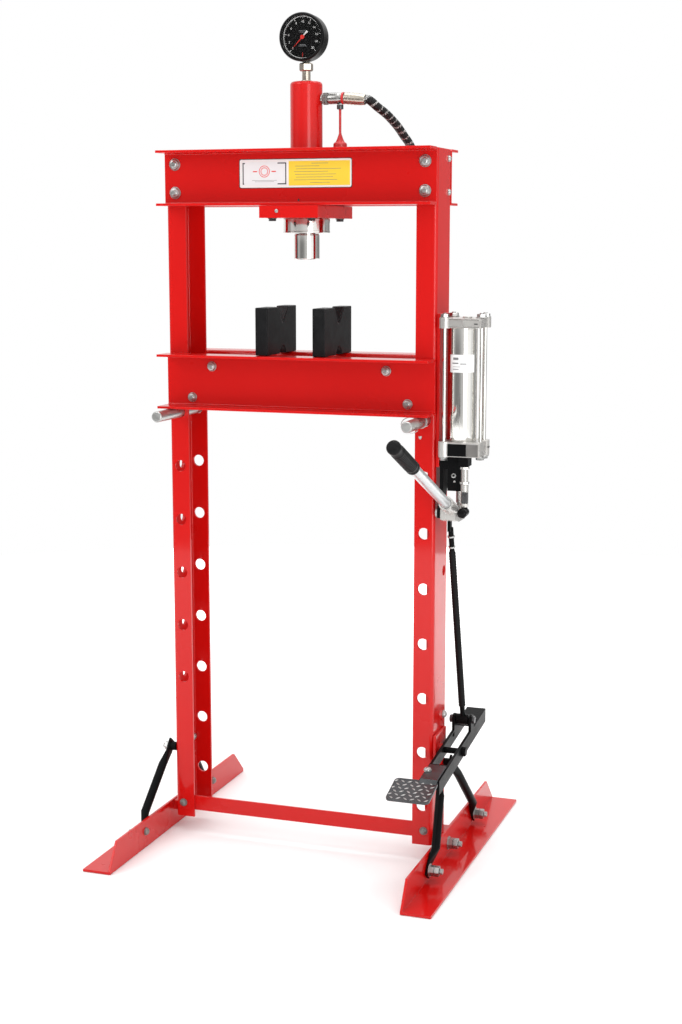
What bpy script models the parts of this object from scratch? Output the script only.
"""Floor-standing hydraulic shop press with a hand lever and a foot pedal.

Metres, +Z up. X runs across the press, the front faces -Y, and the feet stand on z = 0.
Each piece is built about the ram's axis. The whole press is then moved so that the origin
lies under the middle of its bounding box.
"""

import math

import bmesh
import bpy
from mathutils import Matrix, Vector

GAP = 0.0003  # left between pieces that touch

# The middle of the whole footprint, seen from the ram's axis. The model's origin is put there.
MIDDLE = Vector((0.00819, -0.03752, 0.0))

# Frame
HALF_WIDTH = 0.280  # from the ram's axis to a post's web
POST_HALF_DEPTH = 0.048
POST_FLANGE = 0.041
WALL = 0.005
POST_BOTTOM = 0.034
HEAD_LOW, HEAD_HIGH = 1.299, 1.406
HEAD_REACH = 0.097  # how far a head beam's flanges stand out from the middle
BED_LOW, BED_HIGH = 0.901, 1.009
BED_WEB = 0.0495  # inner face of a bed beam's web
BED_REACH = 0.107
ARBOR_LEFT_X, ARBOR_RIGHT_X = -0.066, 0.053
PIN_X = 0.2585
PIN_Z = 0.8895
PIN_RADIUS = 0.011
HOLE_RADIUS = 0.0116
HOLE_PITCH = 0.1106
HOLE_COUNT = 8
LEFT_FRONT_HOLES = 6  # the left post's front flange has no holes further down
WEB_HOLE_RADIUS = 0.0105
HEAD_BOLT_X = 0.2575
HEAD_BOLT_Z = (1.325, 1.380)
HEAD_BOLT_RADIUS, BOLT_HEAD = 0.007, 0.012
TIE_BOLT_RADIUS = 0.006
TIE_BOLTS = {
    "left_upper": (-0.1826, 0.984), "left_lower": (-0.2260, 0.921),
    "right_upper": (0.1826, 0.984), "right_lower": (0.2260, 0.921),
}
FOOT_INNER = 0.298
FOOT_OUTER = 0.358
FOOT_HEIGHT = 0.058
FOOT_FRONT, FOOT_REAR = -0.322, 0.365
STRUT_WIDTH, STRUT_THICK = 0.024, 0.005  # at its flattened ends
STRUT_RADIUS = 0.0088
STRUT_FRONT_Y, STRUT_REAR_Y, STRUT_LOW_Z = -0.160, 0.185, 0.028  # the lower bolts
STRUT_HIGH_Y, STRUT_HIGH_Z = 0.040, 0.182
STRUT_STANDOFF = 0.012  # a spacer holds its upper end off the post

# Cylinder and ram
BARREL_RADIUS, BORE_RADIUS = 0.0315, 0.0240
BARREL_LOW, BARREL_HIGH = 1.250, 1.536
ROD_RADIUS = 0.017
PORT_Z = 1.503
PLATE_LOW = 1.275
NOSE_RADIUS = 0.0253
NOSE_LOW, NOSE_HIGH = 1.1955, 1.2455
PISTON_LOW, PISTON_HIGH = 1.4783, 1.4923
SPRING_LOW, SPRING_HIGH = 1.2830, 1.4755

# Gauge
GAUGE_Z = 1.618
GAUGE_RADIUS = 0.0455
DIAL_FRONT = -0.0195

# Pump
TANK = Vector((0.331, -0.020))  # centre of the oil reservoir, seen from above
CAP_HALF = 0.0395
TIE_RODS = ((-0.033, -0.033), (-0.033, 0.033), (0.033, 0.020))  # from that centre
TUBE_SHIFT = 0.006  # how far the tube's axis is from the caps' centre, towards the post
TANK_RADIUS = 0.0285
TANK_LOW, TANK_HIGH = 0.851, 1.069
CAP_LOW, CAP_HIGH = 0.823, 1.087
ROCKER_Y, ROCKER_Z = -0.050, 0.712
LEVER_X = 0.315
LEVER_START = Vector((0.315, -0.048, 0.7186))
LEVER_WAY = Vector((0.0, -0.9165, 0.4000)).normalized()
LEVER_RADIUS = 0.0105
LINK_X, PLUNGER_X = 0.304, 0.317
LINK_ARM, LINK_DROP = 0.026, 0.006  # the link's pin, behind and below the rocker's axis
PLUNGER_ARM, PLUNGER_DROP = 0.046, 0.010
SMALL_PIN, ROCKER_PIN = 0.003, 0.006
VALVE_X, VALVE_Z = 0.340, 0.716

# Pedal
PEDAL_Y, PEDAL_Z = -0.015, 0.226
ARM_LOW_X, ARM_HIGH_X = 0.293, 0.333
ARM_FRONT, ARM_REAR = -0.184, 0.170
ARM_TOP_FRONT, ARM_TOP_REAR = 0.2175, 0.2650
ARM_HEIGHT, ARM_WALL = 0.028, 0.0035
SLOT_FRONT = -0.112  # where the opening in the arm's top starts
CLEVIS_X, CLEVIS_Y, CLEVIS_Z = 0.313, 0.061, 0.270

# Hose: the points it passes through, from the cylinder to the pump
HOSE_RADIUS = 0.0085
HOSE_ROUTE = [
    (0.1203, 0.000, 1.4995),
    (0.1262, 0.000, 1.4995),
    (0.1335, 0.005, 1.4940),
    (0.1404, 0.012, 1.4865),
    (0.1481, 0.026, 1.4785),
    (0.1538, 0.042, 1.4707),
    (0.1633, 0.070, 1.4532),
    (0.1706, 0.092, 1.4352),
    (0.1770, 0.108, 1.4205),
    (0.1860, 0.121, 1.3950),
    (0.1990, 0.129, 1.3500),
    (0.2130, 0.128, 1.2800),
    (0.2250, 0.126, 1.1900),
    (0.2330, 0.126, 1.090),
    (0.2350, 0.128, 1.010),
    (0.2400, 0.130, 0.950),
    (0.2540, 0.131, 0.895),
    (0.2830, 0.119, 0.855),
    (0.3120, 0.092, 0.839),
    (0.3220, 0.063, 0.837),
    (0.3220, 0.0503, 0.837),
]


def clear_scene():
    for obj in list(bpy.data.objects):
        bpy.data.objects.remove(obj, do_unlink=True)


def material(name, colour, roughness, metallic=0.0, alpha=1.0):
    made = bpy.data.materials.new(name)
    made.use_nodes = True
    shader = made.node_tree.nodes["Principled BSDF"]
    shader.inputs["Base Color"].default_value = (*colour, 1.0)
    shader.inputs["Roughness"].default_value = roughness
    shader.inputs["Metallic"].default_value = metallic
    shader.inputs["Alpha"].default_value = alpha
    made.diffuse_color = (*colour, alpha)
    return made


def finish(name, bm, look, smooth=False):
    """The mesh as an object whose faces point out."""
    bmesh.ops.recalc_face_normals(bm, faces=bm.faces)
    mesh = bpy.data.meshes.new(name)
    bm.to_mesh(mesh)
    bm.free()
    if smooth:
        mesh.shade_smooth()
        mesh.set_sharp_from_angle(angle=math.radians(35))
    obj = bpy.data.objects.new(name, mesh)
    bpy.context.scene.collection.objects.link(obj)
    if look:
        mesh.materials.append(look)
    return obj


def loft(name, rings, look, smooth=False):
    """A solid through rings of equally many points, with both ends closed."""
    bm = bmesh.new()
    made = [[bm.verts.new(point) for point in ring] for ring in rings]
    for lower, upper in zip(made, made[1:]):
        for i in range(len(lower)):
            j = (i + 1) % len(lower)
            bm.faces.new((lower[i], lower[j], upper[j], upper[i]))
    bm.faces.new(made[0])
    bm.faces.new(made[-1])
    return finish(name, bm, look, smooth)


def prism(name, outline, axis, low, high, look=None):
    """A flat outline pushed along an axis. It is (y, z) for X, (x, z) for Y and (x, y) for Z."""
    index = "XYZ".index(axis)

    def at(point, height):
        values = list(point)
        values.insert(index, height)
        return values

    return loft(name, [[at(p, h) for p in outline] for h in (low, high)], look)


def box(name, low, high, look=None):
    outline = [(low[0], low[1]), (high[0], low[1]), (high[0], high[1]), (low[0], high[1])]
    return prism(name, outline, "Z", low[2], high[2], look)


def turned(name, profile, look=None, way=(0, 0, 1), at=(0, 0, 0), sides=32):
    """A profile of (radius, height) points turned round an axis through `at` along `way`."""
    bm = bmesh.new()
    to_way = Vector((0, 0, 1)).rotation_difference(Vector(way)).to_matrix().to_4x4()
    place = Matrix.Translation(at) @ to_way
    rings = []
    for radius, height in profile:
        count = sides if radius > 0 else 1
        turns = [2 * math.pi * (i + 0.5) / sides for i in range(count)]
        points = [(radius * math.cos(t), radius * math.sin(t), height) for t in turns]
        rings.append([bm.verts.new(place @ Vector(point)) for point in points])
    is_ring = profile[0][0] > 0 and profile[-1][0] > 0
    following = rings[1:] + rings[:1] if is_ring else rings[1:]
    for lower, upper in zip(rings, following):
        for i in range(sides):
            j = (i + 1) % sides
            corners = [lower[i % len(lower)], lower[j % len(lower)]]
            corners += [upper[j % len(upper)], upper[i % len(upper)]]
            bm.faces.new(list(dict.fromkeys(corners)))
    return finish(name, bm, look, smooth=True)


def rod(name, radius, start, length, way=(0, 0, 1), look=None, sides=24):
    """A plain round bar from `start` along `way`."""
    profile = [(0, 0), (radius, 0), (radius, length), (0, length)]
    return turned(name, profile, look, way, start, sides)


def guide(obj, piece):
    """Marks a cutter or a joined shape, which isn't a piece of its own."""
    obj.hide_render = True
    obj.display_type = "WIRE"
    obj.parent = piece


def combine(piece, operation, *others):
    for other in others:
        guide(other, piece)
        modifier = piece.modifiers.new(other.name, "BOOLEAN")
        modifier.operation = operation
        modifier.object = other
        modifier.solver = "EXACT"
    return piece


def cut(piece, *cutters):
    return combine(piece, "DIFFERENCE", *cutters)


def join(piece, *shapes):
    return combine(piece, "UNION", *shapes)


def holes(piece, centres, radius, way, length, sides=16):
    """Drills round holes whose axes start at the centres and run along `way`."""
    for number, centre in enumerate(centres):
        name = f"{piece.name}_hole_{len(piece.modifiers)}_{number}"
        cut(piece, rod(name, radius, centre, length, way, sides=sides))
    return piece


def carry(name, pivot, *pieces):
    """Puts the pieces of one moving body on an empty at a point of its joint's axis."""
    empty = bpy.data.objects.new(name, None)
    empty.location = pivot
    empty.empty_display_size = 0.03
    bpy.context.scene.collection.objects.link(empty)
    back = Matrix.Translation(-Vector(pivot))
    for piece in pieces:
        piece.data.transform(back)
        for helper in piece.children:
            helper.data.transform(back)
        piece.parent = empty
    return empty


def channel(near, far, low, high, wall):
    """A C outline: the web's outer face is at `near`, and the flanges reach `far`."""
    inner = near + wall * (1 if far > near else -1)
    return [
        (near, low), (far, low), (far, low + wall), (inner, low + wall),
        (inner, high - wall), (far, high - wall), (far, high), (near, high),
    ]


def post(name, side, look):
    outline = channel(side * HALF_WIDTH, side * (HALF_WIDTH - POST_FLANGE),
                      -POST_HALF_DEPTH, POST_HALF_DEPTH, WALL)
    piece = prism(name, outline, "Z", POST_BOTTOM, HEAD_HIGH - 0.001, look)
    start = -POST_HALF_DEPTH - 0.01
    length = 2 * POST_HALF_DEPTH + 0.02
    heights = [PIN_Z - HOLE_PITCH * i for i in range(HOLE_COUNT)]
    through = heights if side > 0 else heights[:LEFT_FRONT_HOLES]
    holes(piece, [(side * PIN_X, start, z) for z in through], HOLE_RADIUS, (0, 1, 0), length, 20)
    if side < 0:
        rear = [(side * PIN_X, 0, z) for z in heights[LEFT_FRONT_HOLES:]]
        holes(piece, rear, HOLE_RADIUS, (0, 1, 0), length / 2, 20)
        web = [(-0.004, z) for z in heights[1:LEFT_FRONT_HOLES]]
    else:
        web = [(0.023, 0.584)]
    across = [(side * HALF_WIDTH - 0.01, y, z) for y, z in web]
    holes(piece, across, WEB_HOLE_RADIUS, (1, 0, 0), 0.02, 20)
    bolts = [(side * HEAD_BOLT_X, start, z) for z in HEAD_BOLT_Z]
    return holes(piece, bolts, HEAD_BOLT_RADIUS + GAP, (0, 1, 0), length)


def head_beam(name, side, look):
    web = side * (POST_HALF_DEPTH + GAP)
    outline = channel(web, side * HEAD_REACH, HEAD_LOW, HEAD_HIGH, WALL)
    piece = prism(name, outline, "X", -HALF_WIDTH, HALF_WIDTH, look)
    centres = [(x, web - side * 0.01, z) for x in (-HEAD_BOLT_X, HEAD_BOLT_X) for z in HEAD_BOLT_Z]
    return holes(piece, centres, HEAD_BOLT_RADIUS + GAP, (0, side, 0), 0.03)


def through_bolt(name, x, z, shank, half, head, thick, look, sleeve=None):
    """A bolt along Y with a head in front and a nut behind, and an optional spacer sleeve."""
    outer = half + thick
    profile = [(0, -outer), (head, -outer), (head, -half), (shank, -half)]
    if sleeve:
        radius, reach = sleeve
        profile += [(shank, -reach), (radius, -reach), (radius, reach), (shank, reach)]
    profile += [(shank, half), (head, half), (head, outer), (0, outer)]
    return turned(name, profile, look, (0, 1, 0), (x, 0, z), 16)


def head_bolts(look):
    half = POST_HALF_DEPTH + WALL + 2 * GAP
    for side, word in ((-1, "left"), (1, "right")):
        for z, level in zip(HEAD_BOLT_Z, ("lower", "upper")):
            through_bolt(f"head_bolt_{word}_{level}", side * HEAD_BOLT_X, z,
                         HEAD_BOLT_RADIUS, half, BOLT_HEAD, 0.008, look)


def foot(name, side, look):
    """An angle iron with its upright leg outside the post, and a pad that meets the post."""
    inner, outer = side * FOOT_INNER, side * FOOT_OUTER
    leg = side * (FOOT_INNER + WALL)
    outline = [(inner, 0), (outer, 0), (outer, WALL), (leg, WALL), (leg, FOOT_HEIGHT),
               (inner, FOOT_HEIGHT)]
    piece = prism(name, outline, "Y", FOOT_FRONT, FOOT_REAR, look)
    ends = ((FOOT_FRONT, -1, 0.035), (FOOT_REAR, 1, 0.055))
    across = sorted((inner - side * 0.01, outer + side * 0.01))
    for end, way, slope in ends:
        corner = [(end + way * 0.02, WALL + 0.001), (end, WALL + 0.001),
                  (end - way * slope, FOOT_HEIGHT + 0.001), (end + way * 0.02, FOOT_HEIGHT + 0.001)]
        cut(piece, prism(f"{name}_corner_{way}", corner, "X", *across))
    low, high = sorted((side * (HALF_WIDTH + GAP), leg - side * 0.001))
    pad = box(f"{name}_pad", (low, -0.022, POST_BOTTOM + 0.002), (high, 0.022, FOOT_HEIGHT - 0.002))
    return join(piece, pad)


def strut(name, side, end, look):
    """A tube with flattened ends, from the foot's leg up to the post's web."""
    low_bolt = Vector((STRUT_FRONT_Y if end < 0 else STRUT_REAR_Y, STRUT_LOW_Z))
    high_bolt = Vector((end * STRUT_HIGH_Y, STRUT_HIGH_Z))
    run = (high_bolt - low_bolt).normalized()
    across = Vector((-run.y, run.x))
    length = (high_bolt - low_bolt).length
    flat, bare = STRUT_THICK / 2, STRUT_RADIUS
    low_x, high_x = FOOT_INNER + WALL + GAP, HALF_WIDTH + GAP + STRUT_STANDOFF
    stations = [
        (-0.013, low_x + flat, True), (0.014, low_x + flat, True),
        (0.046, low_x + bare + 0.0005, False), (length - 0.042, high_x + bare + 0.0005, False),
        (length - 0.012, high_x + flat, True), (length + 0.013, high_x + flat, True),
    ]
    rings = []
    for along, x, is_flat in stations:
        wide, thick, square = (STRUT_WIDTH / 2, flat, 0.3) if is_flat else (bare, bare, 1.0)
        ring = []
        for i in range(16):
            turn = 2 * math.pi * (i + 0.5) / 16
            u = math.copysign(abs(math.cos(turn)) ** square, math.cos(turn)) * wide
            v = math.copysign(abs(math.sin(turn)) ** square, math.sin(turn)) * thick
            y, z = low_bolt + run * along + across * u
            ring.append((side * (x + v), y, z))
        rings.append(ring)
    spacer = (side * (HALF_WIDTH + GAP), high_bolt.x, high_bolt.y)
    return join(loft(name, rings, look), rod(f"{name}_spacer", 0.009, spacer,
                                             STRUT_STANDOFF + flat, (side, 0, 0), sides=20))


def frame(red, black, zinc):
    post("left_post", -1, red)
    post("right_post", 1, red)
    head_beam("head_beam_front", -1, red)
    head_beam("head_beam_rear", 1, red)
    head_bolts(zinc)
    foot("left_foot", -1, red)
    foot("right_foot", 1, red)
    back = -POST_HALF_DEPTH + WALL + GAP
    box("cross_brace", (-0.270, back, 0.048), (0.270, back + WALL, 0.079), red)
    for side, word in ((-1, "left"), (1, "right")):
        strut(f"strut_{word}_front", side, -1, black)
        strut(f"strut_{word}_rear", side, 1, black)


def bed_beam(name, side, look):
    web = side * BED_WEB
    outline = channel(web, side * BED_REACH, BED_LOW, BED_HIGH, WALL)
    piece = prism(name, outline, "X", -HALF_WIDTH, HALF_WIDTH, look)
    centres = [(x, web - side * 0.01, z) for x, z in TIE_BOLTS.values()]
    return holes(piece, centres, TIE_BOLT_RADIUS + GAP, (0, side, 0), 0.03)


def bed(red, zinc):
    pieces = [bed_beam("bed_beam_front", -1, red), bed_beam("bed_beam_rear", 1, red)]
    for word, (x, z) in TIE_BOLTS.items():
        sleeve = (0.0085, BED_WEB - GAP)
        pieces.append(through_bolt(f"bed_tie_bolt_{word}", x, z, TIE_BOLT_RADIUS,
                                   BED_WEB + WALL + GAP, 0.010, 0.007, zinc, sleeve))
    carry("bed_body", (0, 0, BED_LOW), *pieces)


def bed_pins(zinc):
    chamfer = 0.002
    for word, x, front in (("left", -PIN_X, -0.157), ("right", PIN_X, -0.170)):
        rear = front + 0.282
        profile = [(0, front), (PIN_RADIUS - chamfer, front), (PIN_RADIUS, front + chamfer),
                   (PIN_RADIUS, rear - chamfer), (PIN_RADIUS - chamfer, rear), (0, rear)]
        pin = turned(f"bed_pin_{word}", profile, zinc, (0, 1, 0), (x, 0, PIN_Z), 24)
        carry(f"bed_pin_{word}_body", (x, 0, PIN_Z), pin)


def arc(centre, radius, start, end, steps):
    """Points on an arc, with its angles in degrees."""
    turns = [math.radians(start + (end - start) * i / steps) for i in range(steps + 1)]
    return [(centre[0] + radius * math.cos(t), centre[1] + radius * math.sin(t)) for t in turns]


def arbor_plate(name, x, look):
    """A thick plate with a V notch in its top edge and a half-round notch in its bottom edge."""
    half, thick, low, high = 0.080, 0.0130, BED_HIGH + GAP, 1.1025
    notch = [(0.036, high)] + arc((0.004, 1.0785), 0.008, -20, -165, 6) + [(-0.020, high)]
    relief = arc((0.004, low), 0.016, 180, 0, 8)
    outline = [(-half, low)] + relief + [(half, low), (half, high)] + notch + [(-half, high)]
    plate = prism(name, outline, "X", x - thick, x + thick, look)
    carry(f"{name}_body", (x, 0, low), plate)


def cylinder(red, chrome, steel, rubber):
    round_over = 0.006
    barrel = turned("cylinder_tube", [
        (BORE_RADIUS, BARREL_LOW), (BARREL_RADIUS, BARREL_LOW),
        (BARREL_RADIUS, BARREL_HIGH - round_over),
        (BARREL_RADIUS - 0.3 * round_over, BARREL_HIGH - 0.3 * round_over),
        (BARREL_RADIUS - round_over, BARREL_HIGH),
        (0.004, BARREL_HIGH), (0.004, BARREL_HIGH - 0.014), (BORE_RADIUS, BARREL_HIGH - 0.014),
    ], red)
    holes(barrel, [(0.015, 0, PORT_Z)], 0.004, (1, 0, 0), 0.03, 12)
    plate = box("cylinder_plate", (-0.060, -0.102, PLATE_LOW), (0.060, 0.102, HEAD_LOW - GAP), red)
    holes(plate, [(0, 0, PLATE_LOW - 0.01)], BARREL_RADIUS + 0.0004, (0, 0, 1), 0.05, 32)
    ring_high = PLATE_LOW - GAP
    ring_low = ring_high - 0.028
    turned("cylinder_lock_ring", [
        (BARREL_RADIUS + 0.0004, ring_low), (0.044, ring_low), (0.046, ring_low + 0.002),
        (0.046, ring_high - 0.002), (0.044, ring_high), (BARREL_RADIUS + 0.0004, ring_high),
    ], chrome)
    gland = BORE_RADIUS - GAP
    turned("rod_gland", [
        (ROD_RADIUS + 0.0004, BARREL_LOW), (gland, BARREL_LOW), (gland, SPRING_LOW - 0.003),
        (ROD_RADIUS + 0.0004, SPRING_LOW - 0.003),
    ], steel)
    socket = NOSE_HIGH - 0.014
    ram_rod = rod("ram_rod", ROD_RADIUS, (0, 0, socket + GAP), PISTON_LOW - socket - 2 * GAP,
                  look=chrome)
    nose = turned("ram_nose", [
        (0, NOSE_LOW), (NOSE_RADIUS - 0.002, NOSE_LOW), (NOSE_RADIUS, NOSE_LOW + 0.002),
        (NOSE_RADIUS, NOSE_HIGH), (ROD_RADIUS + 0.0004, NOSE_HIGH),
        (ROD_RADIUS + 0.0004, socket), (0, socket),
    ], chrome)
    piston = rod("ram_piston", BORE_RADIUS - 0.0004, (0, 0, PISTON_LOW), PISTON_HIGH - PISTON_LOW,
                 look=steel)
    seal_low, seal_high = PISTON_HIGH + GAP, PISTON_HIGH + 0.0053
    seal = turned("piston_seal", [
        (0.012, seal_low), (BORE_RADIUS - GAP, seal_low), (BORE_RADIUS - GAP, seal_high),
        (0.012, seal_high),
    ], rubber)
    carry("ram_body", (0, 0, NOSE_LOW), ram_rod, nose, piston, seal)


def round_curve(name, points, radius, resolution, look):
    """A round bar along the points, with closed ends."""
    data = bpy.data.curves.new(name, "CURVE")
    data.dimensions = "3D"
    data.bevel_depth = radius
    data.bevel_resolution = resolution
    data.use_fill_caps = True
    spline = data.splines.new("POLY")
    spline.points.add(len(points) - 1)
    for target, point in zip(spline.points, points):
        target.co = (*point, 1.0)
    obj = bpy.data.objects.new(name, data)
    bpy.context.scene.collection.objects.link(obj)
    data.materials.append(look)
    return obj


def return_spring(steel):
    turns, per_turn, radius, wire = 9, 12, 0.0205, 0.0018
    points = []
    for i in range(turns * per_turn + 1):
        angle = 2 * math.pi * i / per_turn
        height = SPRING_LOW + (SPRING_HIGH - SPRING_LOW) * i / (turns * per_turn)
        points.append((radius * math.cos(angle), radius * math.sin(angle), height))
    round_curve("return_spring", points, wire, 0, steel)


def gauge(black, brass, dial_white, glass, needle_red):
    stem_top = GAUGE_Z - GAUGE_RADIUS - 0.0005
    stem = rod("gauge_stem", 0.0083, (0, 0, BARREL_HIGH + GAP), stem_top - BARREL_HIGH - GAP,
               look=brass)
    flats = rod("gauge_stem_hexagon", 0.0135, (0, 0, 1.5555), 0.0158, sides=6)
    join(stem, flats)
    centre = (0, 0, GAUGE_Z)
    front, back = -0.020, 0.0085
    turned("gauge_case", [
        (0, back), (GAUGE_RADIUS - 0.004, back), (GAUGE_RADIUS, back - 0.004),
        (GAUGE_RADIUS, front), (GAUGE_RADIUS - 0.0015, front), (GAUGE_RADIUS - 0.0015, front + 0.003),
        (0, front + 0.003),
    ], black, (0, 1, 0), centre, 36)
    turned("gauge_bezel", [
        (0.0405, front - GAP), (0.0460, front - GAP), (0.0460, front - 0.006),
        (0.0440, front - 0.010), (0.0405, front - 0.010),
    ], black, (0, 1, 0), centre, 36)
    turned("gauge_dial", [
        (0, DIAL_FRONT), (0.0436, DIAL_FRONT), (0.0436, front + 0.003 - GAP),
        (0, front + 0.003 - GAP),
    ], dial_white, (0, 1, 0), centre, 36)
    lens_front = front - 0.0085
    turned("gauge_lens", [
        (0, lens_front), (0.0402, lens_front), (0.0402, lens_front + 0.0015),
        (0, lens_front + 0.0015),
    ], glass, (0, 1, 0), centre, 36)
    needle(centre, needle_red)


def needle(centre, look):
    """The pointer rests towards the lower left, at the scale's zero."""
    back, thick = DIAL_FRONT - 0.0010, 0.0012
    point, tail, half = 0.0300, 0.0140, 0.0012
    outline = [(-point, 0), (0, -half), (tail, -half), (tail, half), (0, half)]
    turn = Matrix.Rotation(math.radians(45), 2)
    placed = []
    for x, z in outline:
        turned_point = turn @ Vector((x, z))
        placed.append((centre[0] + turned_point.x, centre[2] + turned_point.y))
    pointer = prism("gauge_needle", placed, "Y", back - thick, back, look)
    hub = rod("gauge_needle_hub", 0.0040, (centre[0], back - thick - 0.0010, centre[2]), 0.0020,
              (0, 1, 0), sides=16)
    join(pointer, hub)
    carry("gauge_needle_body", (centre[0], 0, centre[2]), pointer)


def smooth_route(points, spacing):
    """Points about `spacing` apart on a smooth curve through the given ones."""
    known = [Vector(p) for p in points]
    known = [2 * known[0] - known[1]] + known + [2 * known[-1] - known[-2]]
    made = []
    for a, b, c, d in zip(known, known[1:], known[2:], known[3:]):
        steps = max(1, round((c - b).length / spacing))
        for i in range(steps):
            t = i / steps
            made.append(0.5 * (2 * b + (c - a) * t + (2 * a - 5 * b + 4 * c - d) * t * t
                               + (3 * b - a - 3 * c + d) * t ** 3))
    return made + [known[-2]]


def hose(steel, hose_black, red_rubber):
    start = BARREL_RADIUS + GAP
    turned("hose_coupler", [
        (0, start), (0.0115, start), (0.0115, 0.046), (0.0085, 0.046), (0.0085, 0.0475),
        (0.0110, 0.0475), (0.0110, 0.0735), (0.0085, 0.0735), (0.0085, 0.0775),
        (0.0105, 0.0775), (0.0105, 0.1200), (0, 0.1200),
    ], steel, (1, 0, 0), (0, 0, PORT_Z), 24)
    round_curve("hydraulic_hose", smooth_route(HOSE_ROUTE, 2.2 * 2 * HOSE_RADIUS), HOSE_RADIUS, 2,
                hose_black)
    end_x, end_y, end_z = HOSE_ROUTE[-1]
    cap_rear = TANK.y + CAP_HALF + GAP
    length = end_y - GAP - cap_rear
    turned("pump_hose_fitting", [
        (0, 0), (0.0095, 0), (0.0095, 0.008), (0.0075, 0.008), (0.0075, 0.012),
        (0.0105, 0.012), (0.0105, length), (0, length),
    ], steel, (0, 1, 0), (end_x, cap_rear, end_z), 20)
    cap_x, strap = 0.0695, 0.0026
    turned("dust_cap", [
        (0, 1.4065), (0.0120, 1.4065), (0.0135, 1.4085), (0.0135, 1.4170), (0.0095, 1.4215),
        (0.0040, 1.4310), (strap, 1.4350), (strap, 1.4815), (0.0060, 1.4815), (0.0060, 1.4915),
        (0, 1.4915),
    ], red_rubber, at=(cap_x, 0, 0), sides=20)


def tank_cap(name, low, high, look):
    """A square cap with a round boss for each tie rod; its front right corner is plain."""
    near, far = TANK - Vector((CAP_HALF, CAP_HALF)), TANK + Vector((CAP_HALF, CAP_HALF))
    cap = box(name, (near.x, near.y, low), (far.x, far.y, high), look)
    for i, (x, y) in enumerate(TIE_RODS):
        at = (TANK.x + x, TANK.y + y, low - 0.001)
        join(cap, rod(f"{name}_boss_{i}", 0.0105, at, high - low + 0.002, sides=20))
    return cap


def reservoir(red, steel, chrome):
    box("pump_bracket", (HALF_WIDTH + GAP, -0.044, 0.800), (0.2868, 0.020, 1.095), red)
    tank_cap("reservoir_bottom_cap", CAP_LOW, TANK_LOW, steel)
    tank_cap("reservoir_top_cap", TANK_HIGH, CAP_HIGH, steel)
    low, high = TANK_LOW + 0.0015, TANK_HIGH - 0.0015
    inner = TANK_RADIUS - 0.003
    turned("reservoir_tube", [(inner, low), (TANK_RADIUS, low), (TANK_RADIUS, high), (inner, high)],
           chrome, at=(TANK.x - TUBE_SHIFT, TANK.y, 0), sides=36)


def pump_body(black):
    """The pump's block under the reservoir, the cheek that holds the rocker, and the valve stem."""
    top = CAP_LOW - 0.0015
    block = box("pump_body", (0.304, -0.044, 0.755), (0.330, 0.012, top), black)
    cheek = [
        (ROCKER_Y - 0.012, ROCKER_Z - 0.008), (ROCKER_Y - 0.012, ROCKER_Z + 0.008),
        (-0.044, 0.762), (-0.044, top), (-0.010, top), (-0.010, 0.762),
        (ROCKER_Y + 0.012, ROCKER_Z), (ROCKER_Y + 0.006, ROCKER_Z - 0.012),
    ]
    join(block, prism("pump_cheek", cheek, "X", 0.2885, 0.2955))
    join(block, box("pump_bridge", (0.2945, -0.0435, 0.797), (0.3050, -0.0105, top - 0.0005)))
    stem = Vector((VALVE_X, -0.050, 0.0))
    join(block, box("pump_shelf", (0.3290, -0.0570, 0.8050), (0.3480, -0.0300, top - 0.0005)))
    join(block, rod("valve_stem", 0.006, (stem.x, stem.y, VALVE_Z), 0.095, sides=16))
    join(block, rod("valve_boss", 0.0085, (stem.x, stem.y - 0.0060, VALVE_Z), 0.012, (0, 1, 0),
                    sides=20))
    holes(block, [(0.285, ROCKER_Y, ROCKER_Z)], ROCKER_PIN + GAP, (1, 0, 0), 0.015, 20)
    holes(block, [(PLUNGER_X, ROCKER_Y + PLUNGER_ARM, 0.750)], 0.0064, (0, 0, 1), 0.048, 16)


def plunger(steel):
    y = ROCKER_Y + PLUNGER_ARM
    piece = rod("pump_plunger", 0.006, (PLUNGER_X, y, 0.727), 0.041, look=steel, sides=16)
    low = ROCKER_Z - PLUNGER_DROP - 0.008
    join(piece, box("plunger_tongue", (PLUNGER_X - 0.003, y - 0.0065, low),
                    (PLUNGER_X + 0.003, y + 0.0065, 0.7283)))
    holes(piece, [(PLUNGER_X - 0.01, y, ROCKER_Z - PLUNGER_DROP)], 0.005, (1, 0, 0), 0.02)
    carry("pump_plunger_body", (PLUNGER_X, y, ROCKER_Z), piece)


def valve_knob(black):
    front, back = -0.0740, -0.0563
    knob = turned("release_valve_knob", [
        (0, front), (0.0080, front), (0.0095, front + 0.0015), (0.0095, back - 0.0040),
        (0.0070, back), (0, back),
    ], black, (0, 1, 0), (VALVE_X, 0, VALVE_Z), 20)
    carry("release_valve_body", (VALVE_X, 0, VALVE_Z), knob)


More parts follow.
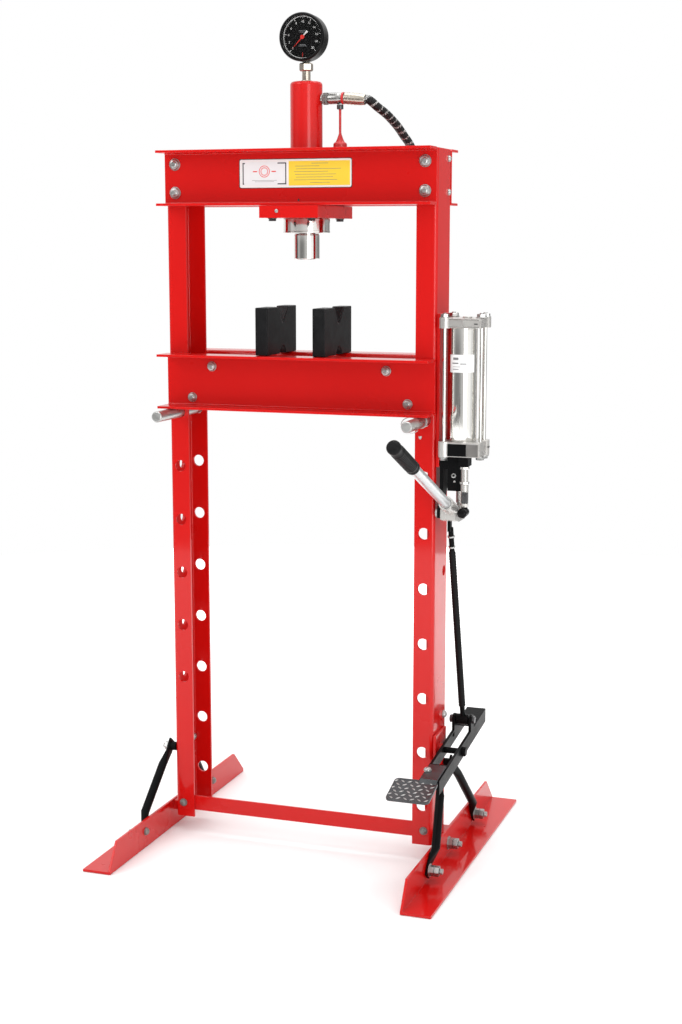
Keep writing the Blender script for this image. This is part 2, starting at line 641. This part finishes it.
def rocker(steel, chrome, rubber):
    """The rocker with its lever. Two slots take the link's and the plunger's tongues."""
    outline = [(-0.015, -0.011), (-0.015, 0.009), (-0.008, 0.015), (0.006, 0.015),
               (0.014, 0.004), (0.058, -0.003), (0.058, -0.018), (0.014, -0.018), (0.002, -0.015)]
    placed = [(ROCKER_Y + y, ROCKER_Z + z) for y, z in outline]
    piece = prism("pump_rocker", placed, "X", 0.296, 0.326, steel)
    socket_start = LEVER_START + LEVER_WAY * 0.005
    join(piece, rod("lever_socket", 0.014, socket_start, 0.046, LEVER_WAY))
    cut(piece, rod("lever_bore", LEVER_RADIUS + GAP, LEVER_START + LEVER_WAY * 0.0117, 0.060,
                   LEVER_WAY))
    for x in (LINK_X, PLUNGER_X):
        cut(piece, box(f"rocker_slot_{x}", (x - 0.004, ROCKER_Y + 0.009, ROCKER_Z - 0.03),
                       (x + 0.004, ROCKER_Y + 0.07, ROCKER_Z + 0.03)))
    holes(piece, [(0.29, ROCKER_Y, ROCKER_Z)], ROCKER_PIN + GAP, (1, 0, 0), 0.05, 20)
    for x, arm, drop in ((LINK_X, LINK_ARM, LINK_DROP), (PLUNGER_X, PLUNGER_ARM, PLUNGER_DROP)):
        start = (x - 0.006, ROCKER_Y + arm, ROCKER_Z - drop)
        join(piece, rod(f"rocker_pin_{x}", SMALL_PIN, start, 0.012, (1, 0, 0), sides=12))
    bar_start, bar_end, grip_start = 0.012, 0.415, 0.290
    bore = LEVER_RADIUS - 0.0025
    bar = turned("hand_lever", [
        (bore, bar_start), (LEVER_RADIUS, bar_start), (LEVER_RADIUS, bar_end), (bore, bar_end),
    ], chrome, LEVER_WAY, LEVER_START, 24)
    sleeve = LEVER_RADIUS + GAP
    grip = turned("lever_grip", [
        (0, bar_end + 0.001), (sleeve, bar_end + 0.001), (sleeve, grip_start),
        (0.0128, grip_start), (0.0132, grip_start + 0.004), (0.0132, 0.417), (0.0110, 0.423),
        (0, 0.423),
    ], rubber, LEVER_WAY, LEVER_START, 24)
    carry("pump_rocker_body", (LEVER_X, ROCKER_Y, ROCKER_Z), piece, bar, grip)


def rocker_pin(zinc):
    head, cheek = 0.2840, 0.2885 - GAP
    turned("rocker_pivot_pin", [
        (0, head), (0.0090, head), (0.0090, cheek), (ROCKER_PIN, cheek), (ROCKER_PIN, 0.3275),
        (0, 0.3275),
    ], zinc, (1, 0, 0), (0, ROCKER_Y, ROCKER_Z), 20)


def link_rod(black):
    """The slanted rod from the pedal arm's lugs up to the rocker: an eye below, a tongue above."""
    top = Vector((LINK_X, ROCKER_Y + LINK_ARM, ROCKER_Z - LINK_DROP))
    low = Vector((CLEVIS_X, CLEVIS_Y, CLEVIS_Z))
    way = (top - low).normalized()
    length = (top - low).length
    bar = rod("link_rod", 0.0052, low + way * 0.008, length - 0.036, way, black, 16)
    tongue = box("link_tongue", (top.x - 0.003, top.y - 0.006, top.z - 0.034),
                 (top.x + 0.003, top.y + 0.006, top.z + 0.008))
    eye = rod("link_eye", 0.0110, (low.x - 0.012, low.y, low.z), 0.024, (1, 0, 0), sides=20)
    join(bar, tongue, eye)
    holes(bar, [(top.x - 0.01, top.y, top.z)], 0.0046, (1, 0, 0), 0.02)
    holes(bar, [(low.x - 0.02, low.y, low.z)], 0.0053, (1, 0, 0), 0.04)
    carry("link_body", low, bar)


def pedal_bracket(red, black):
    plate = box("pedal_bracket", (HALF_WIDTH + GAP, -0.045, 0.210), (0.2863, 0.030, 0.262), red)
    join(plate, rod("pedal_boss", 0.012, (0.2850, PEDAL_Y, PEDAL_Z), 0.0075, (1, 0, 0), sides=20))
    holes(plate, [(0.275, PEDAL_Y, PEDAL_Z)], 0.0063, (1, 0, 0), 0.03, 20)
    end = ARM_HIGH_X + 0.0005
    turned("pedal_pivot_bolt", [
        (0, 0.2812), (0.006, 0.2812), (0.006, end), (0.0100, end), (0.0100, end + 0.007),
        (0, end + 0.007),
    ], black, (1, 0, 0), (0, PEDAL_Y, PEDAL_Z), 20)


def pedal_arm(black):
    """An upside-down channel that slopes down to the front, open in the middle, with two lugs."""
    low, high, wall = ARM_LOW_X, ARM_HIGH_X, ARM_WALL

    def section(y, top):
        bottom = top - ARM_HEIGHT
        points = [(low, bottom), (low + wall, bottom), (low + wall, top - wall),
                  (high - wall, top - wall), (high - wall, bottom), (high, bottom), (high, top),
                  (low, top)]
        return [(x, y, z) for x, z in points]

    arm = loft("pedal_arm", [section(ARM_FRONT, ARM_TOP_FRONT), section(ARM_REAR, ARM_TOP_REAR)],
               black)
    lug = [(CLEVIS_Y - 0.012, 0.2350), (CLEVIS_Y + 0.012, 0.2350)]
    lug += arc((CLEVIS_Y, CLEVIS_Z), 0.0115, 0, 180, 8)
    join(arm, prism("pedal_lug_left", lug, "X", low, low + 0.0055))
    join(arm, prism("pedal_lug_right", lug, "X", high - 0.0055, high))
    cut(arm, box("pedal_slot", (low + 0.0055, SLOT_FRONT, 0.1900),
                 (high - 0.0055, CLEVIS_Y + 0.020, 0.2900)))
    join(arm, rod("pedal_link_pin", 0.005, (low - 0.004, CLEVIS_Y, CLEVIS_Z), high - low + 0.008,
                  (1, 0, 0), sides=16))
    holes(arm, [(low - 0.01, PEDAL_Y, PEDAL_Z)], 0.0064, (1, 0, 0), 0.06, 20)
    return arm


def pedal_tread(steel):
    """The foot plate: it slopes to the front, with turned-down rims and a tab on the arm's top."""
    rear, front, thick = ARM_FRONT - GAP, -0.255, 0.005
    rear_top, front_top, lip = 0.217, 0.197, 0.012
    outline = [
        (rear, rear_top), (rear, rear_top - lip), (rear - thick, rear_top - lip),
        (rear - thick, rear_top - thick - 0.0015), (front + thick, front_top - thick + 0.0015),
        (front + thick, front_top - 0.008), (front, front_top - 0.008), (front, front_top),
    ]
    plate = prism("pedal_tread", outline, "X", 0.246, 0.332, steel)
    slope = (ARM_TOP_REAR - ARM_TOP_FRONT) / (ARM_REAR - ARM_FRONT)
    tab_rear, tab = -0.122, 0.003
    tab_low = ARM_TOP_FRONT + GAP
    tab_end = tab_low + slope * (tab_rear - ARM_FRONT)
    tongue = [
        (rear - 0.010, rear_top - 0.006), (rear, rear_top - 0.006), (rear, tab_low),
        (tab_rear, tab_end), (tab_rear, tab_end + tab), (rear - 0.003, tab_low + tab),
    ]
    return join(plate, prism("pedal_tab", tongue, "X", ARM_LOW_X + 0.003, ARM_HIGH_X - 0.003))


def main():
    clear_scene()
    red = material("red_paint", (0.62, 0.010, 0.012), 0.28)
    black = material("black_paint", (0.012, 0.012, 0.013), 0.35)
    black_plastic = material("black_plastic", (0.015, 0.015, 0.016), 0.40)
    rubber = material("black_rubber", (0.020, 0.020, 0.021), 0.65)
    zinc = material("zinc_plate", (0.55, 0.55, 0.53), 0.38, 0.9)
    chrome = material("chrome", (0.78, 0.78, 0.78), 0.12, 1.0)
    steel = material("bright_steel", (0.62, 0.61, 0.58), 0.30, 1.0)
    brass = material("plated_brass", (0.70, 0.66, 0.58), 0.25, 1.0)
    cast = material("black_cast_steel", (0.030, 0.032, 0.034), 0.45, 0.3)
    dial = material("dial_black", (0.010, 0.010, 0.011), 0.45)
    glass = material("gauge_glass", (0.9, 0.9, 0.9), 0.05, 0.0, 0.25)
    needle_red = material("needle_red", (0.70, 0.03, 0.02), 0.40)
    hose_black = material("hose_braid", (0.035, 0.035, 0.036), 0.50)
    red_rubber = material("red_rubber", (0.50, 0.015, 0.015), 0.50)

    frame(red, black, zinc)
    bed(red, zinc)
    bed_pins(zinc)
    arbor_plate("arbor_plate_left", ARBOR_LEFT_X, cast)
    arbor_plate("arbor_plate_right", ARBOR_RIGHT_X, cast)
    cylinder(red, chrome, steel, rubber)
    return_spring(steel)
    gauge(black_plastic, brass, dial, glass, needle_red)
    hose(steel, hose_black, red_rubber)
    reservoir(red, steel, chrome)
    pump_body(black)
    plunger(steel)
    valve_knob(black_plastic)
    rocker(steel, chrome, rubber)
    rocker_pin(zinc)
    link_rod(black)
    pedal_bracket(red, black)
    pieces = [pedal_arm(black), pedal_tread(steel)]
    carry("pedal_body", (0, PEDAL_Y, PEDAL_Z), *pieces)
    for obj in bpy.data.objects:
        if obj.parent is None:
            obj.location -= MIDDLE


main()
